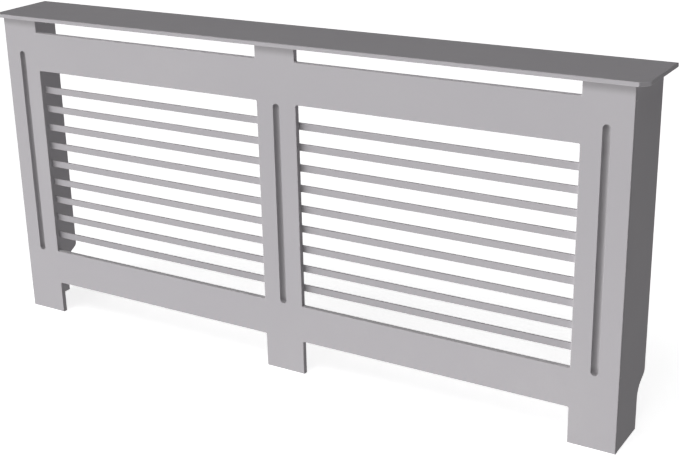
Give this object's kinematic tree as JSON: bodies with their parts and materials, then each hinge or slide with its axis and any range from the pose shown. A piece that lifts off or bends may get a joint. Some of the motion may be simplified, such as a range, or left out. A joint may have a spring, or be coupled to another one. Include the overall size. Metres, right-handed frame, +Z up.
{
  "type": "radiator cover",
  "caption": "Free-standing radiator cover: a routed front panel with slats behind its openings, side panels cut back for a skirting board, and a flat shelf with clipped front corners.",
  "frame": {"origin": "middle of the overall box, on the floor", "axes": "+X to the right seen from the front, +Y from the front towards the wall, +Z up"},
  "size_m": [1.72, 0.19, 0.815],
  "materials": {
    "painted_front": "satin",
    "painted_shelf": "satin",
    "painted_side": "satin",
    "painted_slat": "satin",
    "screw_steel": "satin",
    "bolt_steel": "satin",
    "cam_zinc": "satin",
    "bracket_steel": "satin",
    "beech": "matte"
  },
  "bodies": {
    "root": {"bracket_screws": "screw_steel", "cam_bolts": "bolt_steel", "cam_locks": "cam_zinc", "centre_bracket": "bracket_steel", "front_panel": "painted_front", "side_panel_left": "painted_side", "side_panel_right": "painted_side", "slat_1": "painted_slat", "slat_2": "painted_slat", "slat_3": "painted_slat", "slat_4": "painted_slat", "slat_5": "painted_slat", "slat_6": "painted_slat", "slat_7": "painted_slat", "slat_8": "painted_slat", "slat_9": "painted_slat", "slat_screws": "screw_steel", "top_shelf": "painted_shelf", "wall_bracket_left": "bracket_steel", "wall_bracket_right": "bracket_steel", "wooden_dowels": "beech"}
  },
  "joints": []
}
